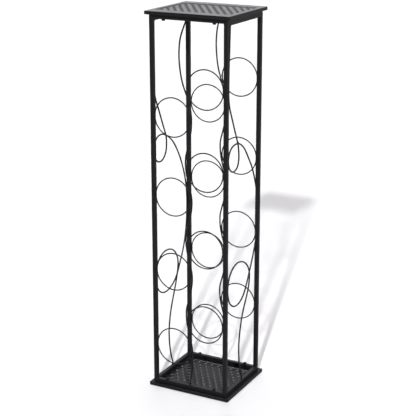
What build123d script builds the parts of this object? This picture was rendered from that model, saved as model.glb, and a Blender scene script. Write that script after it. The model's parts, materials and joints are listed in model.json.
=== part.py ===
"""Tower wine rack for eight bottles: steel frame, bottle rings, bent decorative wires, two trays.

Millimetres, +Z up.  X runs left to right across the front, Y runs front to back.
The origin is the middle of the base, on the floor.  The bottles lie along Y.
Every piece is exported as its own STEP file in parts/.
"""
import os

from build123d import *

os.makedirs("parts", exist_ok=True)

# ---- overall size -------------------------------------------------------------------
width = 235.0            # X, across the front
depth = 215.0            # Y, front to back
height = 1000.0          # Z, floor to the top of the upper tray

# ---- trays: folded sheet, skirt all round, inward flange along the bottom edge --------
tray_height = 8.5
tray_corner = 4.0        # outside corner radius
sheet = 1.0              # sheet thickness
flange = 24.0            # width of the inward flange under the tray
side_border = 13.5       # smooth border beside the pressed panel, left and right
end_border = 32.5        # smooth border in front of the panel and behind it
panel_drop = 1.2         # the pressed panel sits this far below the border
panel_corner = 3.0
panel_width = width - 2 * side_border
panel_depth = depth - 2 * end_border

# ---- frame: square tube -------------------------------------------------------------
tube = 10.5
tube_wall = 1.0
frame_inset = 9.5        # from the tray edge to the outside of the posts
side_rail_height = 16.0  # the two upper side rails are deeper than the other rails
frame_x = width / 2 - frame_inset        # outer face of the posts, across
frame_y = depth / 2 - frame_inset        # outer face of the posts, front and back
post_bottom = tray_height
post_top = height - tray_height
rail_mid_x = frame_x - tube / 2
rail_mid_y = frame_y - tube / 2
top_rail_under = post_top - tube         # underside of the upper front and back rails
side_rail_under = post_top - side_rail_height
base_rail_over = tray_height + tube      # upper face of the lower rails

# ---- bottle rings -------------------------------------------------------------------
ring_wire = 3.2          # wire diameter
ring_radius = 49.9       # to the middle of the wire
ring_x = frame_x - tube - ring_wire / 2 - ring_radius    # the ring just meets the post
ring_plane = 95.0        # distance of the ring planes from the middle, in Y
# heights of the ring centres, highest first, as welded: the spacing isn't quite even
left_ring_levels = [738.9, 532.6, 330.7, 121.5]
right_ring_levels = [816.8, 608.0, 405.1, 200.0]

# ---- bent wires ---------------------------------------------------------------------
bent_wire = 4.0          # wire diameter
wave_touch = ring_radius + ring_wire / 2 + bent_wire / 2 - ring_x + 0.4    # X beside a ring
front_bulge = 26.0       # how far the front wave swings left above the highest ring
back_bulge = 22.0        # and the back wave
scroll_x = 105.5         # X of the side wires
scroll_step = 2.05       # how far they step in or out where they cross themselves

# ---- screws -------------------------------------------------------------------------
screw_x = 70.0           # distance from the middle along the front and back rails
screw_shank = 5.0
screw_hole = 5.4
screw_head = 9.0
head_height = 4.0
nut_across = 8.0
nut_height = 4.0


# ---- trays --------------------------------------------------------------------------
def make_tray(bottom, hole_level, hole_length):
    """A folded sheet tray standing on `bottom`; four screw holes cut at `hole_level`."""
    top = bottom + tray_height
    with BuildPart() as tray:
        with BuildSketch(Plane.XY.offset(bottom)):
            RectangleRounded(width, depth, tray_corner)
        extrude(amount=tray_height)
        # hollow between the top sheet and the bottom flange
        with BuildSketch(Plane.XY.offset(bottom + sheet)):
            RectangleRounded(width - 2 * sheet, depth - 2 * sheet, tray_corner - sheet)
        extrude(amount=tray_height - 2 * sheet - panel_drop, mode=Mode.SUBTRACT)
        # the border sheet keeps one thickness outside the pressed panel
        with BuildSketch(Plane.XY.offset(top - sheet - panel_drop)):
            RectangleRounded(width - 2 * sheet, depth - 2 * sheet, tray_corner - sheet)
            Rectangle(panel_width + 2 * sheet, panel_depth + 2 * sheet, mode=Mode.SUBTRACT)
        extrude(amount=panel_drop, mode=Mode.SUBTRACT)
        # pressed panel, set down below the border
        with BuildSketch(Plane.XY.offset(top - panel_drop)):
            RectangleRounded(panel_width, panel_depth, panel_corner)
        extrude(amount=panel_drop, mode=Mode.SUBTRACT)
        # the flange leaves the middle of the underside open
        with BuildSketch(Plane.XY.offset(bottom)):
            RectangleRounded(width - 2 * flange, depth - 2 * flange, 6.0)
        extrude(amount=sheet, mode=Mode.SUBTRACT)
        # clearance holes for the screws
        with BuildSketch(Plane.XY.offset(hole_level)):
            with Locations(*screw_places()):
                Circle(screw_hole / 2)
        extrude(amount=hole_length, mode=Mode.SUBTRACT)
        # softened upper edge of the skirt
        fillet(tray.faces().filter_by(GeomType.PLANE).sort_by(Axis.Z)[-1].outer_wire().edges(),
               radius=0.8)
    return tray


def screw_places():
    """Plan positions of the four screws through the front and back rails."""
    return [(sx * screw_x, sy * rail_mid_y) for sx in (-1, 1) for sy in (-1, 1)]


base_tray = make_tray(0.0, tray_height - sheet - 0.2, sheet + 0.4)
base_tray.part.label = "base_tray"
export_step(base_tray.part, "parts/base_tray.step")

top_tray = make_tray(post_top, post_top - 0.2, sheet + 0.4)
top_tray.part.label = "top_tray"
export_step(top_tray.part, "parts/top_tray.step")

# ---- posts --------------------------------------------------------------------------
for name, sx, sy in (
    ("front_left_post", -1, -1),
    ("front_right_post", 1, -1),
    ("back_left_post", -1, 1),
    ("back_right_post", 1, 1),
):
    with BuildPart() as post:
        with BuildSketch(Plane.XY.offset(post_bottom)):
            with Locations((sx * rail_mid_x, sy * rail_mid_y)):
                RectangleRounded(tube, tube, 1.0)
                Rectangle(tube - 2 * tube_wall, tube - 2 * tube_wall, mode=Mode.SUBTRACT)
        extrude(amount=post_top - post_bottom)
    post.part.label = name
    export_step(post.part, f"parts/{name}.step")

# ---- rails --------------------------------------------------------------------------
top_rail_mid = post_top - tube / 2
base_rail_mid = tray_height + tube / 2
long_rail = 2 * (frame_x - tube)
side_rail = 2 * (frame_y - tube)

for name, sy, level in (
    ("top_front_rail", -1, top_rail_mid),
    ("top_back_rail", 1, top_rail_mid),
    ("base_front_rail", -1, base_rail_mid),
    ("base_back_rail", 1, base_rail_mid),
):
    with BuildPart() as rail:
        with BuildSketch(Plane.YZ.offset(-long_rail / 2)):
            with Locations((sy * rail_mid_y, level)):
                RectangleRounded(tube, tube, 1.0)
                Rectangle(tube - 2 * tube_wall, tube - 2 * tube_wall, mode=Mode.SUBTRACT)
        extrude(amount=long_rail)
        with BuildSketch(Plane.XY.offset(level - tube)):
            with Locations((-screw_x, sy * rail_mid_y), (screw_x, sy * rail_mid_y)):
                Circle(screw_hole / 2)
        extrude(amount=2 * tube, mode=Mode.SUBTRACT)
    rail.part.label = name
    export_step(rail.part, f"parts/{name}.step")

for name, sx, under, tall in (
    ("top_left_rail", -1, side_rail_under, side_rail_height),
    ("top_right_rail", 1, side_rail_under, side_rail_height),
    ("base_left_rail", -1, tray_height, tube),
    ("base_right_rail", 1, tray_height, tube),
):
    with BuildPart() as rail:
        with BuildSketch(Plane.XZ.offset(-side_rail / 2)):
            with Locations((sx * rail_mid_x, under + tall / 2)):
                RectangleRounded(tube, tall, 1.0)
                Rectangle(tube - 2 * tube_wall, tall - 2 * tube_wall, mode=Mode.SUBTRACT)
        extrude(amount=side_rail)
    rail.part.label = name
    export_step(rail.part, f"parts/{name}.step")

# ---- bottle rings: a front one and a back one for each bottle -------------------------
for face, sy in (("front", -1), ("back", 1)):
    for side, sx, levels in (("left", -1, left_ring_levels), ("right", 1, right_ring_levels)):
        for number, level in enumerate(levels, start=1):
            with BuildPart() as ring:
                with Locations((sx * ring_x, sy * ring_plane, level)):
                    Torus(ring_radius, ring_wire / 2, rotation=(90, 0, 0))
            name = f"{face}_ring_{side}_{number}"
            ring.part.label = name
            export_step(ring.part, f"parts/{name}.step")

# ---- wave wires: one on the front, one on the back, winding between the two columns ----
def wave_points(bulge):
    """(X, Z) along a wave wire; its ends run past the rails and are then trimmed flush."""
    points = [
        (-0.22 * bulge, top_rail_under + 1.5), (-0.56 * bulge, 961), (-0.83 * bulge, 940),
        (-0.97 * bulge, 916), (-bulge, 893), (-0.93 * bulge, 868), (-0.76 * bulge, 840),
        (-0.42 * bulge, 812), (0, 784), (0.75 * wave_touch, 760),
        (wave_touch, left_ring_levels[0]),
    ]
    for left_level, right_level in zip(left_ring_levels[1:], right_ring_levels[1:]):
        points += [
            (-0.5 * wave_touch, right_level + 54), (-1.15 * wave_touch, right_level + 32),
            (-1.2 * wave_touch, right_level + 13), (-wave_touch, right_level - 4),
            (-0.3 * wave_touch, right_level - 29), (wave_touch, left_level),
        ]
    return points + [(1.1 * wave_touch, 97), (0.75 * wave_touch, 60), (0, base_rail_over - 1.5)]


for name, sy, bulge in (("front_wave_wire", -1, front_bulge), ("back_wave_wire", 1, back_bulge)):
    y = sy * ring_plane
    with BuildPart() as wave:
        with BuildLine() as path:
            Spline(*[(x, y, z) for x, z in wave_points(bulge)])
        with BuildSketch(Plane(origin=path.line @ 0, z_dir=path.line % 0)):
            Circle(bent_wire / 2)
        sweep()
        split(bisect_by=Plane.XY.offset(top_rail_under), keep=Keep.BOTTOM)
        split(bisect_by=Plane.XY.offset(base_rail_over), keep=Keep.TOP)
    wave.part.label = name
    export_step(wave.part, f"parts/{name}.step")

# ---- scroll wires: one on each side, with a small loop above and a large loop below ----
# (Y, Z, step) along the wire from the top rail down to the base rail; the step is -1 where
# the wire passes inside its own crossing, 1 where it passes outside it and 0 elsewhere.
scroll_points = [
    (-79.5, side_rail_under, 0), (-80.5, 950, 0), (-82.8, 905, 0), (-84.9, 865, 0),
    (-85.4, 833, 0), (-83.5, 802, -0.4), (-77.0, 776, -0.8), (-64.8, 750, -1),
    (-49.2, 717, -1), (-35.5, 689, -1), (-27.0, 668, -1), (-24.5, 647, -0.7),
    (-28.0, 627, -0.3), (-37.8, 614.5, 0), (-55.0, 609, 0), (-71.5, 614, 0), (-82.0, 627.5, 0),
    (-85.4, 644, 0), (-81.5, 660, 0.2), (-72.0, 672, 0.6), (-55.0, 678, 1),
    (-35.0, 677, 1), (-17.0, 669.5, 0.8), (1.5, 657, 0.2), (19.0, 639, -0.3), (35.0, 618, -0.3),
    (49.7, 595.5, 0), (62.0, 571, 0), (72.9, 543, 0), (81.0, 513, 0), (84.8, 484, 0),
    (85.4, 455, 0), (83.3, 420, 0), (77.0, 386, -0.3), (66.0, 353, -0.8), (53.0, 325, -1),
    (40.5, 303, -1), (26.5, 279, -1), (10.0, 260, -0.6), (-10.0, 248.5, -0.2),
    (-32.5, 244, 0), (-55.0, 249, 0), (-74.0, 264, 0), (-84.0, 287, 0),
    (-84.5, 312, 0), (-75.5, 336, 0), (-58.0, 352.5, 0), (-35.0, 359.5, 0),
    (-10.0, 357, 0.1), (12.0, 347, 0.5), (28.0, 331, 0.9), (36.8, 311, 1),
    (36.0, 288, 1), (29.5, 265, 0.9), (19.0, 242, 0.4), (5.5, 215, 0), (-7.0, 184, 0),
    (-15.0, 153, 0), (-18.7, 122, 0), (-17.5, 92, 0), (-12.5, 62, 0), (-4.2, 36, 0),
    (0.0, base_rail_over, 0),
]

for name, sx in (("left_scroll_wire", -1), ("right_scroll_wire", 1)):
    with BuildPart() as scroll:
        with BuildLine() as path:
            Spline(*[(sx * (scroll_x + step * scroll_step), y, z)
                     for y, z, step in scroll_points],
                   tangents=[(0, 0, -1), (0, 0, -1)])
        with BuildSketch(Plane(origin=path.line @ 0, z_dir=path.line % 0)):
            Circle(bent_wire / 2)
        # a copy of the path, set to one side, keeps the section from twisting
        guide = path.line.edges()[0].moved(Location((60, 0, 0)))
        sweep(binormal=guide)
    scroll.part.label = name
    export_step(scroll.part, f"parts/{name}.step")

# ---- screws and nuts: four to each tray ------------------------------------------------
# The upper screws go up through the rails into the top tray; the lower ones go down.

with BuildPart() as top_screws:
    with BuildSketch(Plane.XY.offset(top_rail_under - head_height)):
        with Locations(*screw_places()):
            Circle(screw_head / 2)
    extrude(amount=head_height)
    fillet(top_screws.faces().sort_by(Axis.Z)[:4].edges(), radius=1.6)
    with BuildSketch(Plane.XY.offset(top_rail_under)):
        with Locations(*screw_places()):
            Circle(screw_shank / 2)
    extrude(amount=tube + sheet + nut_height + 0.5)
    with BuildSketch(Plane.XY.offset(top_rail_under - head_height)):
        with Locations(*screw_places()):
            RectangleRounded(4.4, 1.1, 0.3)
            RectangleRounded(1.1, 4.4, 0.3)
    extrude(amount=1.6, mode=Mode.SUBTRACT)
top_screws.part.label = "top_screws"
export_step(top_screws.part, "parts/top_screws.step")

with BuildPart() as base_screws:
    with BuildSketch(Plane.XY.offset(base_rail_over + head_height)):
        with Locations(*screw_places()):
            Circle(screw_head / 2)
    extrude(amount=-head_height)
    fillet(base_screws.faces().sort_by(Axis.Z)[-4:].edges(), radius=1.6)
    with BuildSketch(Plane.XY.offset(base_rail_over)):
        with Locations(*screw_places()):
            Circle(screw_shank / 2)
    extrude(amount=-(tube + sheet + nut_height + 0.5))
    with BuildSketch(Plane.XY.offset(base_rail_over + head_height)):
        with Locations(*screw_places()):
            RectangleRounded(4.4, 1.1, 0.3)
            RectangleRounded(1.1, 4.4, 0.3)
    extrude(amount=-1.6, mode=Mode.SUBTRACT)
base_screws.part.label = "base_screws"
export_step(base_screws.part, "parts/base_screws.step")

for name, bottom in (
    ("top_nuts", post_top + sheet),
    ("base_nuts", tray_height - sheet - nut_height),
):
    with BuildPart() as nuts:
        with BuildSketch(Plane.XY.offset(bottom)):
            with Locations(*screw_places()):
                RegularPolygon(nut_across / 2, 6, major_radius=False)
                Circle(screw_shank / 2, mode=Mode.SUBTRACT)
        extrude(amount=nut_height)
    nuts.part.label = name
    export_step(nuts.part, f"parts/{name}.step")
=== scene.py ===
# %% [markdown]
# # A tower wine rack in powder-coated steel
#
# This lesson dresses a imported CAD model of a narrow steel wine rack. The rack is four square
# posts between two pressed trays, sixteen wire rings for the bottles, two wavy wires that
# wind between the columns of rings, and two wires with open loops on the sides. The CAD
# model gives every place and size. Blender adds what a drawing leaves out: the pressed
# pattern of the trays, the welds, and a coat of black powder paint.
#
# The frame is loaded first, and nothing in it is moved. The start-up cube, lamp and camera
# are taken away.

# %% Load the frame
import json
import math

import bpy
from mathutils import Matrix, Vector, noise


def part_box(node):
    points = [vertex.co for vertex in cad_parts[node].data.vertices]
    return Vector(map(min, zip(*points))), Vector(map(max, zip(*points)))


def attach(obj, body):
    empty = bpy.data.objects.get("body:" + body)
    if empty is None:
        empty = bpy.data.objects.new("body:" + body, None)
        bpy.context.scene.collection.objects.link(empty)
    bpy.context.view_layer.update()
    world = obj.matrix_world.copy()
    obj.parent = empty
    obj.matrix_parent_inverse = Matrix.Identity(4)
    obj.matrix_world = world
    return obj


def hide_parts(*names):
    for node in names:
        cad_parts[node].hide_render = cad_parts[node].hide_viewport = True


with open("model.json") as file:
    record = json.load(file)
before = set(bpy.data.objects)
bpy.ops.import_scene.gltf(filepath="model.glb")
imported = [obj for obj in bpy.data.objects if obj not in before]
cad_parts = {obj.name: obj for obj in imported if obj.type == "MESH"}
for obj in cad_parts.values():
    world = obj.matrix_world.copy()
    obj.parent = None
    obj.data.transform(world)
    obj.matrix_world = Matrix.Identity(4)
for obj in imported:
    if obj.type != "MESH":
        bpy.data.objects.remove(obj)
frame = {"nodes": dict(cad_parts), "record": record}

for name in ("Cube", "Light", "Camera"):
    if name in bpy.data.objects:
        bpy.data.objects.remove(bpy.data.objects[name])
bpy.context.view_layer.update()

nodes = frame["nodes"]

# %% [markdown]
# ## Units, colours and one helper for nodes
#
# Sizes on the rack are easier to read in millimetres, while Blender works in metres, so
# every size is written as a number times `MM`. Colours are written as the hex values that a
# paint chart or a colour picker gives. Those are sRGB values, made for the eye, and a shader
# needs linear ones, so one function turns them over. A second function adds a shader node,
# sets its values and links its inputs, and a third blends two colours, which keeps each
# material down to a few lines.

# %% Units and colours
MM = 0.001


def linear(hex_colour):
    """An sRGB hex colour such as '#1c1c1e' as linear red, green, blue and alpha."""
    parts = [int(hex_colour[i:i + 2], 16) / 255 for i in (1, 3, 5)]
    return [c / 12.92 if c <= 0.04045 else ((c + 0.055) / 1.055) ** 2.4 for c in parts] + [1.0]


def add(tree, kind, settings=None, links=None, **values):
    """A shader node: attributes from settings, sockets from values, and sockets linked."""
    node = tree.nodes.new(kind)
    for key, value in (settings or {}).items():
        setattr(node, key, value)
    for key, value in values.items():
        node.inputs[key.replace("_", " ")].default_value = value
    for key, source in (links or {}).items():
        tree.links.new(source, node.inputs[key])
    return node


def blend(tree, factor, first, second):
    """The colour between first and second, each a hex string or an output socket."""
    node = add(tree, "ShaderNodeMix", {"data_type": "RGBA"}, links={0: factor})
    # the colour sockets of a Mix node come after its number and vector sockets
    for socket, colour in ((node.inputs[6], first), (node.inputs[7], second)):
        if isinstance(colour, str):
            socket.default_value = linear(colour)
        else:
            tree.links.new(colour, socket)
    return node.outputs[2]


dust_grey = "#2c2c2e"
print("grey of the dust, linear:", [round(c, 4) for c in linear(dust_grey)[:3]])

# %% [markdown]
# ## Black powder coat
#
# The rack is mild steel under a baked polyester powder coat. Dry powder is sprayed on, melts
# and flows together in the oven, and sets with a faint orange-peel ripple about 2 mm from
# crest to crest. It could be a plain dark plastic shader, but then the tubes would look
# like extruded plastic. What tells the eye that it is paint on metal is the ripple, which
# breaks up the reflections, with patches that are a little shinier where hands and cloths
# have rubbed, and grey dust in the finest scale.
#
# Polyester resin has an index of refraction near 1.5 and isn't metallic. The satin coat of
# the tubes and wires is nearly 0.4 rough. The trays are smoother and wiped more often, so
# theirs is 0.17. Each pattern is placed by object coordinates, which are metres here, so a
# scale is one over the size of the pattern. The real peel is finer than the picture can
# show from three metres away, so on the tubes it is drawn at 2.5 mm, a little coarser than
# life.

# %% The powder-coat material
def powder_coat(name, dark, light, rough, ripple, grain, depth):
    """Baked powder paint: two near-black tones, rubbed patches, orange peel and fine grain."""
    material = bpy.data.materials.new(name)
    material.use_nodes = True
    tree = material.node_tree
    shader = tree.nodes["Principled BSDF"]
    shader.inputs["IOR"].default_value = 1.5
    shader.inputs["Specular IOR Level"].default_value = 0.4
    shader.inputs["Metallic"].default_value = 0.0
    place = add(tree, "ShaderNodeTexCoord").outputs["Object"]

    # broad patches, about 60 mm across, where the coat is thicker or has been wiped
    patch = add(tree, "ShaderNodeTexNoise", Scale=1 / (60 * MM), Detail=3.0,
                links={"Vector": place})
    # specks of pale dust and pigment, under a millimetre
    speck = add(tree, "ShaderNodeTexNoise", Scale=1 / (0.9 * MM), Detail=2.0, Roughness=0.7,
                links={"Vector": place})
    speck_mask = add(tree, "ShaderNodeMapRange", From_Min=0.5, From_Max=0.8,
                     links={"Value": speck.outputs["Fac"]})
    tone = blend(tree, patch.outputs["Fac"], dark, light)
    dusty = blend(tree, speck_mask.outputs["Result"], tone, dust_grey)
    tree.links.new(dusty, shader.inputs["Base Color"])

    shine = add(tree, "ShaderNodeMapRange", From_Min=0.3, From_Max=0.7,
                To_Min=rough * 1.2, To_Max=rough * 0.8, links={"Value": patch.outputs["Fac"]})
    tree.links.new(shine.outputs["Result"], shader.inputs["Roughness"])

    peel = add(tree, "ShaderNodeTexNoise", Scale=1 / ripple, Detail=1.0, links={"Vector": place})
    fine = add(tree, "ShaderNodeTexNoise", Scale=1 / grain, Detail=2.0, links={"Vector": place})
    both = add(tree, "ShaderNodeMath", {"operation": "MULTIPLY_ADD"},
               links={0: fine.outputs["Fac"], 2: peel.outputs["Fac"]})
    both.inputs[1].default_value = 0.35
    bump = add(tree, "ShaderNodeBump", Strength=0.5, Distance=depth,
               links={"Height": both.outputs[0]})
    tree.links.new(bump.outputs["Normal"], shader.inputs["Normal"])
    print(name, "roughness", rough, "ripple", round(ripple / MM, 2), "mm")
    return material


frame_coat = powder_coat("satin_black_powder_coat_on_tube", "#0d0c10", "#151418",
                         rough=0.38, ripple=2.5 * MM, grain=0.7 * MM, depth=0.12 * MM)
wire_coat = powder_coat("satin_black_powder_coat_on_wire", "#0e0d11", "#161519",
                        rough=0.36, ripple=1.8 * MM, grain=0.6 * MM, depth=0.08 * MM)
tray_coat = powder_coat("fine_texture_black_powder_coat_on_sheet", "#111014", "#1a191e",
                        rough=0.17, ripple=1.6 * MM, grain=0.5 * MM, depth=0.08 * MM)

# %% [markdown]
# ## Screws and nuts
#
# The trays are held by pan-head machine screws blackened in a hot oxide bath, and their nuts
# are zinc plated. Black oxide is a thin layer on bare steel, so underneath it is still a
# metal: the shader is fully metallic with a very dark colour, and it shines where a driver
# has rubbed it. Zinc plating is a bright bluish metal with a faint crystal pattern called
# spangle, drawn here by Voronoi cells 1.5 mm wide that change the roughness a little.

# %% Black oxide and zinc
def plated(name, colour, second, rough, cell):
    """A plated metal whose roughness and tone change from one crystal cell to the next."""
    material = bpy.data.materials.new(name)
    material.use_nodes = True
    tree = material.node_tree
    shader = tree.nodes["Principled BSDF"]
    shader.inputs["Metallic"].default_value = 1.0
    place = add(tree, "ShaderNodeTexCoord").outputs["Object"]
    cells = add(tree, "ShaderNodeTexVoronoi", Scale=1 / cell, links={"Vector": place})
    level = add(tree, "ShaderNodeSeparateColor", links={"Color": cells.outputs["Color"]})
    tone = blend(tree, level.outputs["Red"], colour, second)
    tree.links.new(tone, shader.inputs["Base Color"])
    shine = add(tree, "ShaderNodeMapRange", To_Min=rough - 0.06, To_Max=rough + 0.08,
                links={"Value": level.outputs["Green"]})
    tree.links.new(shine.outputs["Result"], shader.inputs["Roughness"])
    scratch = add(tree, "ShaderNodeTexNoise", Scale=1 / (0.4 * MM), Detail=3.0,
                  links={"Vector": place})
    bump = add(tree, "ShaderNodeBump", Strength=0.3, Distance=0.03 * MM,
               links={"Height": scratch.outputs["Fac"]})
    tree.links.new(bump.outputs["Normal"], shader.inputs["Normal"])
    print(name, "cells", round(cell / MM, 1), "mm")
    return material


black_oxide = plated("black_oxide_on_steel_screw", "#262628", "#323236", 0.38, 0.8 * MM)
zinc_plate = plated("bright_zinc_plate_on_nut", "#b4b8bc", "#9da2a8", 0.30, 1.5 * MM)

# %% [markdown]
# ## Dressing the frame
#
# The posts, rails, rings and bent wires already have their true shape in the CAD model, so
# they stay as they are and only change material. The record names a finish slot for each
# node, and the slot picks the material. Every later piece follows the same table.

# %% Materials by slot
finish = {
    "tray_paint": tray_coat,
    "frame_paint": frame_coat,
    "wire_paint": wire_coat,
    "screw_paint": black_oxide,
    "nut_zinc": zinc_plate,
}
for part in frame["record"]["subparts"]:
    cad_node = nodes[part["node"]]
    cad_node.data.materials.clear()
    cad_node.data.materials.append(finish[part["material_slot"]])

# %% [markdown]
# ## The pressed trays
#
# Each tray is one sheet of steel, 1 mm thick. A press stamps a field of round bosses into it,
# in staggered rows, and sets the whole field a little below a smooth border. The four sides
# are then folded down and their lower edges folded in, which makes the tray stiff and hides
# the raw edges.
#
# The bosses could be a bump in the material, but the upper tray is seen at a low angle,
# where a bump can't hide what lies behind it and the streaks of light between the rows would
# be wrong. So the bosses are real geometry: a fine grid whose points are raised and lowered
# by one function of their place. That function is the press tool. It is set by the spacing
# and size of the bosses and by the size, depth and edge of the field.

# %% The press tool
boss_step = 19.6 * MM          # from boss to boss along a row
row_step = 15.2 * MM           # from row to row, front to back
row_count = 10
boss_reach = 98 * MM           # the outermost bosses, left and right
boss_radius = 7.2 * MM
boss_height = 1.2 * MM
field_depth = 1.2 * MM
field_half = (104 * MM, 75 * MM)
field_corner = 6 * MM
field_slope = 1.8 * MM         # width of the sloping edge round the field


def smooth(t):
    """0 below 0, 1 above 1, and an S-curve between."""
    t = min(max(t, 0.0), 1.0)
    return t * t * (3 - 2 * t)


def pressed(x, y):
    """How far the press moves the sheet at (x, y), down being negative."""
    over_x = abs(x) - field_half[0] + field_corner
    over_y = abs(y) - field_half[1] + field_corner
    outside = math.hypot(max(over_x, 0), max(over_y, 0)) + min(max(over_x, over_y), 0)
    inside = smooth((field_corner - outside) / field_slope)
    row = round(y / row_step + (row_count - 1) / 2)
    row = min(max(row, 0), row_count - 1)
    shift = 0.0 if row % 2 else boss_step / 2
    column_x = round((x - shift) / boss_step) * boss_step + shift
    if abs(column_x) > boss_reach + 1 * MM:    # no boss beyond the last column
        return -field_depth * inside
    away = math.hypot(x - column_x, y - (row - (row_count - 1) / 2) * row_step)
    dome = smooth(1 - away / boss_radius)
    return -field_depth * inside + boss_height * dome * inside


print("bosses", round(2 * boss_radius / MM, 1), "mm across and", round(boss_height / MM, 1),
      "mm high, so their tops come up to the border")

# %% [markdown]
# ## Folding the sheet
#
# The grid lies in a rounded rectangle. Its outermost points are copied in loops that follow
# the bend of the fold, run down the skirt, turn under and run inwards as the flange. This
# makes only the outer skin of the tray. A Solidify modifier then gives it the thickness of
# the sheet on the inner side, just as real sheet has the same thickness everywhere, and no
# loop has to be made twice.

# %% A tray
sheet_thickness = 1.0 * MM
fold_radius = 1.2 * MM         # outside of the fold at the top of the skirt
under_radius = 0.8 * MM        # outside of the fold at the foot of the skirt
corner_radius = 4.0 * MM
flange_width = 24 * MM
grid_step = 1.15 * MM


def rounded(x, y, half_x, half_y, radius):
    """The point of a rounded rectangle that a point of the sharp one moves to."""
    out_x, out_y = abs(x) - (half_x - radius), abs(y) - (half_y - radius)
    if out_x <= 0 or out_y <= 0:
        return x, y
    pull = max(out_x, out_y) / math.hypot(out_x, out_y)
    return (math.copysign(half_x - radius + out_x * pull, x),
            math.copysign(half_y - radius + out_y * pull, y))


def fold_profile(tray_tall):
    """(inset, drop) of the loops from the edge of the flat sheet to the end of the flange."""
    loops = []
    for k in range(1, 6):
        turn = math.radians(90 * k / 5)
        loops.append((fold_radius * (1 - math.sin(turn)), fold_radius * (1 - math.cos(turn))))
    tall = tray_tall - under_radius
    loops.append((0.0, (fold_radius + tall) / 2))
    for k in range(5):
        turn = math.radians(90 * k / 4)
        loops.append((under_radius * (1 - math.cos(turn)), tall + under_radius * math.sin(turn)))
    return loops + [(flange_width * 0.5, tray_tall), (flange_width, tray_tall)]


def make_tray(name, low, high):
    """One folded tray between two corners of the frame, as a mesh object."""
    half_x, half_y = (high.x - low.x) / 2, (high.y - low.y) / 2
    flat_x, flat_y = half_x - fold_radius, half_y - fold_radius
    count_x, count_y = round(2 * flat_x / grid_step), round(2 * flat_y / grid_step)
    points, faces = [], []
    for j in range(count_y + 1):
        for i in range(count_x + 1):
            x = -flat_x + 2 * flat_x * i / count_x
            y = -flat_y + 2 * flat_y * j / count_y
            x, y = rounded(x, y, flat_x, flat_y, corner_radius - fold_radius)
            points.append((x, y, high.z + pressed(x, y)))
    across = count_x + 1
    for j in range(count_y):
        for i in range(count_x):
            a = j * across + i
            faces.append((a, a + 1, a + 1 + across, a + across))
    # the outermost points of the grid, once round anticlockwise
    rim = [(i, 0) for i in range(count_x)] + [(count_x, j) for j in range(count_y)]
    rim += [(count_x - i, count_y) for i in range(count_x)]
    rim += [(0, count_y - j) for j in range(count_y)]
    previous = [j * across + i for i, j in rim]
    for inset, drop in fold_profile(high.z - low.z):
        x_now, y_now = half_x - inset, half_y - inset
        corner = max(corner_radius - inset, 0.5 * MM)
        first = len(points)
        for i, j in rim:
            x = -x_now + 2 * x_now * i / count_x
            y = -y_now + 2 * y_now * j / count_y
            x, y = rounded(x, y, x_now, y_now, corner)
            points.append((x, y, high.z - drop))
        loop = list(range(first, first + len(rim)))
        for k in range(len(rim)):
            n = (k + 1) % len(rim)
            faces.append((previous[n], previous[k], loop[k], loop[n]))
        previous = loop
    mesh = bpy.data.meshes.new(name)
    mesh.from_pydata(points, [], faces)
    mesh.shade_smooth()
    tray = bpy.data.objects.new(name, mesh)
    bpy.context.scene.collection.objects.link(tray)
    thick = tray.modifiers.new("sheet_thickness", "SOLIDIFY")
    thick.thickness = sheet_thickness
    thick.offset = -1.0
    mesh.materials.append(tray_coat)
    print(name, len(points), "points,", count_x, "by", count_y, "cells")
    return tray


for node in ("base_tray", "top_tray"):
    tray_low, tray_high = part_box(node)
    tray = make_tray("pressed_" + node, tray_low, tray_high)
    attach(tray, "root")
    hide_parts(node)

# %% [markdown]
# ## Weld beads
#
# Nothing on the rack is screwed together except the trays. The rails are welded to the posts,
# each ring is tacked to a post on one side and to the wavy wire on the other, and the bent
# wires are welded at both ends and where they touch something. On the real rack every weld is
# a small lump with ripples across it, left as each drop of metal froze, and the powder coat
# rounds it over. Without welds, wires seem to hover beside the posts.
#
# A bead could be a sphere pushed into the joint, but spheres look like peas. Here one
# function draws a bead along any path: a chain of rings of points whose radius swells and
# shrinks with the ripple, tapers at the ends, and is made uneven by noise at the point's own
# place, so the result is the same every time.

# %% A weld bead along a path
def add_bead(points, faces, path, radius, ripple, closed=False):
    """Adds one rippled bead along path, a list of vectors close together, to a mesh's lists."""
    sides = 10
    first = len(points)
    travelled = 0.0
    length = sum((b - a).length for a, b in zip(path, path[1:]))
    for k, point in enumerate(path):
        ahead = path[(k + 1) % len(path)] if closed else path[min(k + 1, len(path) - 1)]
        behind = path[k - 1] if closed or k else path[0]
        along = (ahead - behind).normalized()
        across = along.orthogonal().normalized()
        up = along.cross(across)
        if k:
            travelled += (point - path[k - 1]).length
        size = radius * (1 + 0.10 * math.sin(2 * math.pi * travelled / ripple))
        if not closed:
            from_end = min(travelled, length - travelled)
            size *= math.sqrt(min(1.0, (from_end + 0.08 * radius) / (1.3 * radius)))
        for s in range(sides):
            turn = 2 * math.pi * s / sides
            lump = 1 + 0.16 * noise.noise((point + across * s * radius) / (1.7 * MM))
            points.append(point + (across * math.cos(turn) + up * math.sin(turn)) * size * lump)
    rings = len(path)
    for k in range(rings if closed else rings - 1):
        a, b = first + k * sides, first + ((k + 1) % rings) * sides
        for s in range(sides):
            n = (s + 1) % sides
            faces.append((a + s, a + n, b + n, b + s))
    if not closed:
        faces.append(tuple(first + s for s in reversed(range(sides))))
        faces.append(tuple(first + (rings - 1) * sides + s for s in range(sides)))


def line(start, end, step=0.6 * MM):
    """Points along a straight line, about one step apart."""
    count = max(3, round((end - start).length / step))
    return [start.lerp(end, k / count) for k in range(count + 1)]


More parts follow.
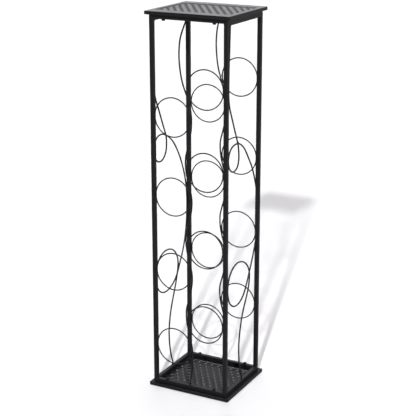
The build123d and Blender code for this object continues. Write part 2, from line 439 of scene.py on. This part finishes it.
def weld_object(name, beads, material):
    """One object holding a list of beads, each (path, radius, ripple, closed)."""
    points, faces = [], []
    for path, radius, ripple, closed in beads:
        add_bead(points, faces, path, radius, ripple, closed)
    mesh = bpy.data.meshes.new(name)
    mesh.from_pydata([tuple(p) for p in points], [], faces)
    mesh.shade_smooth()
    mesh.materials.append(material)
    weld = bpy.data.objects.new(name, mesh)
    bpy.context.scene.collection.objects.link(weld)
    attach(weld, "root")
    print(name, len(beads), "beads,", len(points), "points")


trial = ([], [])
add_bead(*trial, line(Vector((0, 0, 0)), Vector((0, 0, 10 * MM))), 1 * MM, 2 * MM)
print("a 10 mm bead has", len(trial[0]), "points and", len(trial[1]), "faces")

# %% [markdown]
# ## Where the rings are welded
#
# A ring touches its post along a short vertical line halfway up the ring, and the wavy wire
# passes close to the opposite side. The ring's own box gives both places. The tack is a short
# upright bead that fills the wedge between the round wire and its neighbour. Beside the
# highest ring on the right the wavy wire comes nearest 20 mm further down, so there the tack
# on that side falls short of it.

# %% Ring tacks
ring_beads = []
for face in ("front", "back"):
    for side, outward in (("left", -1), ("right", 1)):
        for number in range(1, 5):
            low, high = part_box(f"{face}_ring_{side}_{number}")
            middle = (low + high) / 2
            wire = (high.y - low.y) / 2
            edge = high.x if outward > 0 else low.x
            inner = low.x if outward > 0 else high.x
            at_post = Vector((edge - outward * 0.9 * wire, middle.y, middle.z))
            at_wave = Vector((inner + outward * 0.2 * wire, middle.y, middle.z))
            for spot, reach, size in ((at_post, 6 * MM, 1.35 * wire), (at_wave, 4.5 * MM, wire)):
                up = Vector((0, 0, reach))
                ring_beads.append((line(spot - up, spot + up), size, 2.2 * MM, False))
weld_object("ring_tack_welds", ring_beads, wire_coat)

# %% [markdown]
# ## Where the rails meet the posts
#
# Each rail is a square tube cut off straight and butted against the side of a post. The
# welder runs a fillet along the inside and the underside of the joint, and grinds the outer
# faces flush, so the corner of the rack looks clean from outside. The bead follows two sides
# of the square at each end of each rail.

# %% Rail fillets
rail_beads = []
for level in ("top", "base"):
    for side in ("front", "back", "left", "right"):
        low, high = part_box(f"{level}_{side}_rail")
        runs_x = side in ("front", "back")
        inset = 0.4 * MM
        free_z = low.z - inset * 0.2 if level == "top" else high.z + inset * 0.2
        far_z = high.z if level == "top" else low.z
        for end in (-1, 1):
            if runs_x:
                x = (high.x if end > 0 else low.x) - end * inset
                inner_y = high.y if side == "front" else low.y
                outer_y = low.y if side == "front" else high.y
                corners = [Vector((x, outer_y, free_z)), Vector((x, inner_y, free_z)),
                           Vector((x, inner_y, far_z))]
            else:
                y = (high.y if end > 0 else low.y) - end * inset
                inner_x = high.x if side == "left" else low.x
                outer_x = low.x if side == "left" else high.x
                corners = [Vector((outer_x, y, free_z)), Vector((inner_x, y, free_z)),
                           Vector((inner_x, y, far_z))]
            path = line(corners[0], corners[1])[:-1] + line(corners[1], corners[2])
            rail_beads.append((path, 1.1 * MM, 2.0 * MM, False))
weld_object("rail_fillet_welds", rail_beads, frame_coat)

# %% [markdown]
# ## Where the bent wires are welded
#
# The ends of the wavy wires and of the side wires stand square on a rail. The bead runs once
# round the wire, so its path is a closed circle. The side wires also touch the posts at their
# widest points and touch themselves where their loops close, and each such place has a tack.

# %% Collars and tacks of the bent wires
collar_radius = 2.1 * MM       # from the middle of the wire to the middle of the bead
collar_bead = 0.9 * MM
end_band = 0.05 * MM           # points this close to the end of a wire belong to its end face


def collar(x, y, z):
    """A closed bead round an upright wire at a rail's face."""
    count = 28
    turns = [2 * math.pi * k / count for k in range(count)]
    path = [Vector((x + collar_radius * math.cos(t), y + collar_radius * math.sin(t), z))
            for t in turns]
    return (path, collar_bead, 2.4 * MM, True)


def end_collars(node, plane_y=None):
    """The two collars of a bent wire; plane_y is the Y of a wire that lies in one plane."""
    low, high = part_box(node)
    beads = []
    for level in (low.z, high.z):
        end = [v.co for v in nodes[node].data.vertices if abs(v.co.z - level) < end_band]
        x = sum(v.x for v in end) / len(end)
        y = sum(v.y for v in end) / len(end) if plane_y is None else plane_y
        beads.append(collar(x, y, level))
    return beads


# heights where a side wire touches the front post, and the one where it touches the back post
front_touches, back_touch = (833 * MM, 644 * MM, 300 * MM), 455 * MM
crossings = ((-31 * MM, 676.5 * MM), (37 * MM, 298 * MM))      # (Y, Z) of its own crossings
side_wire_x = 105.5 * MM       # from the middle of the rack to the side wires

wire_beads = []
for face in ("front", "back"):
    low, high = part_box(f"{face}_wave_wire")
    wire_beads += end_collars(f"{face}_wave_wire", (low.y + high.y) / 2)
for side, outward in (("left", -1), ("right", 1)):
    wire_beads += end_collars(f"{side}_scroll_wire")
    low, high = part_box(f"{side}_scroll_wire")
    lane = outward * side_wire_x
    touches = [(low.y + 0.6 * MM, z) for z in front_touches] + [(high.y - 0.6 * MM, back_touch)]
    for y, z in touches:
        spot, up = Vector((lane, y, z)), Vector((0, 0, 5 * MM))
        wire_beads.append((line(spot - up, spot + up), 1.9 * MM, 2.2 * MM, False))
    for y, z in crossings:
        spot, along = Vector((lane, y, z)), Vector((0, 1.5 * MM, 3.5 * MM))
        wire_beads.append((line(spot - along, spot + along), 1.7 * MM, 2.2 * MM, False))
weld_object("bent_wire_welds", wire_beads, wire_coat)

# %% [markdown]
# ## Floor and light
#
# Product pictures of black furniture are taken on a white sweep, lit so brightly that the
# floor and the wall run into one white with no line between them. The floor here is matt
# white paper, 60 m across, so its far edge is never in sight. It is drawn white for the
# camera and mid grey for light that bounces, as if black flags stood beside the rack, or the
# lower half of every tube would glow.

# %% The white floor
floor_mesh = bpy.data.meshes.new("studio_floor")
floor_half = 30.0
floor_mesh.from_pydata(
    [(-floor_half, -floor_half, 0), (floor_half, -floor_half, 0),
     (floor_half, floor_half, 0), (-floor_half, floor_half, 0)], [], [(0, 1, 2, 3)])
floor = bpy.data.objects.new("studio_floor", floor_mesh)
bpy.context.scene.collection.objects.link(floor)
paper = bpy.data.materials.new("matt_white_paper_sweep")
paper.use_nodes = True
sweep = paper.node_tree
sheen = sweep.nodes["Principled BSDF"]
sheen.inputs["Roughness"].default_value = 0.9
sheen.inputs["Specular IOR Level"].default_value = 0.1
seen_directly = add(sweep, "ShaderNodeLightPath").outputs["Is Camera Ray"]
flagged_grey, paper_white = "#8c8c8c", "#f6f6f6"
sweep.links.new(blend(sweep, seen_directly, flagged_grey, paper_white), sheen.inputs["Base Color"])
floor_mesh.materials.append(paper)
print("floor", 2 * floor_half, "m across")

# %% [markdown]
# ## What the black paint mirrors
#
# Black paint shows almost nothing of itself. What the eye reads is the studio mirrored in it,
# so the sky is built from what a photographer would hang round the rack. Behind it stands a
# white wall, bright near the ground and dimmer above. The upper tray is seen at a low angle
# and mirrors the bright band, while the near side of each boss mirrors the dimmer part, and
# that draws the dark streaks between the rows. A large softbox overhead lights the floor, a
# small lamp high at the back puts a glint on each boss of the lower tray, and the front stays
# dark so that the tubes stay black.
#
# A place in the sky is a direction of length one. Its Z is the sine of the height above the
# horizon, its Y says how far it lies behind the rack, and the dot product with the direction
# of the lamp is the cosine of the angle between them. A Map Range node turns each of the
# three into a brightness with a soft edge.

# %% The sky
world = bpy.data.worlds.new("white_studio")
bpy.context.scene.world = world
world.use_nodes = True
sky = world.node_tree
back_sky = sky.nodes["Background"]
back_sky.inputs["Color"].default_value = linear("#fefcff")
facing = add(sky, "ShaderNodeTexCoord").outputs["Generated"]
split = add(sky, "ShaderNodeSeparateXYZ", links={"Vector": facing})


def ramp(source, start, end, dim, bright):
    """dim where source is below start, bright where it is above end, and even between."""
    return add(sky, "ShaderNodeMapRange", From_Min=start, From_Max=end, To_Min=dim,
               To_Max=bright, links={"Value": source}).outputs["Result"]


# the wall is bright up to 7 degrees and dim from 20 degrees up
wall = ramp(split.outputs["Z"], 0.12, 0.34, 0.82, 0.42)
behind = ramp(split.outputs["Y"], -0.1, 0.6, 0.12, 1.0)
overhead = ramp(split.outputs["Z"], 0.86, 0.93, 0.0, 1.95)
strength = add(sky, "ShaderNodeMath", {"operation": "MULTIPLY_ADD"},
               links={0: wall, 1: behind, 2: overhead})

toward_lamp = add(sky, "ShaderNodeVectorMath", {"operation": "DOT_PRODUCT"}, links={0: facing})
toward_lamp.inputs[1].default_value = Vector((-0.26, 0.49, 0.83)).normalized()
lamp = ramp(toward_lamp.outputs["Value"], 0.972, 0.984, 0.0, 4.6)
total = add(sky, "ShaderNodeMath", {"operation": "ADD"}, links={0: strength.outputs[0], 1: lamp})
sky.links.new(total.outputs[0], back_sky.inputs["Strength"])

# the camera itself sees plain white
white = add(sky, "ShaderNodeBackground", Strength=1.0)
white.inputs["Color"].default_value = linear("#ffffff")
is_camera = add(sky, "ShaderNodeLightPath").outputs["Is Camera Ray"]
mixed = add(sky, "ShaderNodeMixShader",
            links={0: is_camera, 1: back_sky.outputs[0], 2: white.outputs[0]})
sky.links.new(mixed.outputs[0], sky.nodes["World Output"].inputs["Surface"])
print("sky of", len(sky.nodes), "nodes")

# %% [markdown]
# ## The key light
#
# A sun stands for the key lamp. It shines from the front, 31 degrees high, and throws the
# long shadow back and to the left. Two degrees across, it is four times as broad as the real
# sun, so the shadow of a thin wire is sharp at its foot and melts away further back.

# %% The sun
sun_data = bpy.data.lights.new("broad_sun", "SUN")
sun_data.energy = 2.7
sun_data.angle = math.radians(2.0)
sun = bpy.data.objects.new("broad_sun", sun_data)
bpy.context.scene.collection.objects.link(sun)
shines_to = Vector((-0.50, 1.60, -1.0)).normalized()
sun.rotation_mode = "QUATERNION"
sun.rotation_quaternion = shines_to.to_track_quat("-Z", "Y")
bpy.context.scene.view_settings.view_transform = "Standard"
print("sun height", round(math.degrees(math.asin(-shines_to.z))), "degrees")

# %% [markdown]
# ## Camera
#
# The camera stands to the front right, about three metres away and a little higher than the
# rack, and looks slightly down. From there the upper tray is a thin lozenge and the base
# tray is wide open. The lens is long, 100 mm, which keeps the posts nearly parallel, as in a
# furniture catalogue. There is no lens shift, so any other view keeps the rack in the frame.

# %% Place the camera
camera_data = bpy.data.cameras.new("catalogue_camera")
camera_data.sensor_width = 36.0
camera_data.lens = 100.4
camera = bpy.data.objects.new("catalogue_camera", camera_data)
bpy.context.scene.collection.objects.link(camera)
bpy.context.scene.camera = camera
turn_right, look_down = math.radians(27.73), math.radians(17.25)
back = Vector((math.sin(turn_right) * math.cos(look_down),
               -math.cos(turn_right) * math.cos(look_down), math.sin(look_down)))
camera.location = Vector((1.344, -2.549, 1.379))
camera.rotation_mode = "QUATERNION"
camera.rotation_quaternion = (-back).to_track_quat("-Z", "Y")
print("camera", round(camera.location.length, 2), "m from the foot of the rack")

# %% [markdown]
# ## Finish
#
# The trays replaced the CAD trays and the welds were added, and the view layer is brought up
# to date once more.

# %% The closing line
bpy.context.view_layer.update()
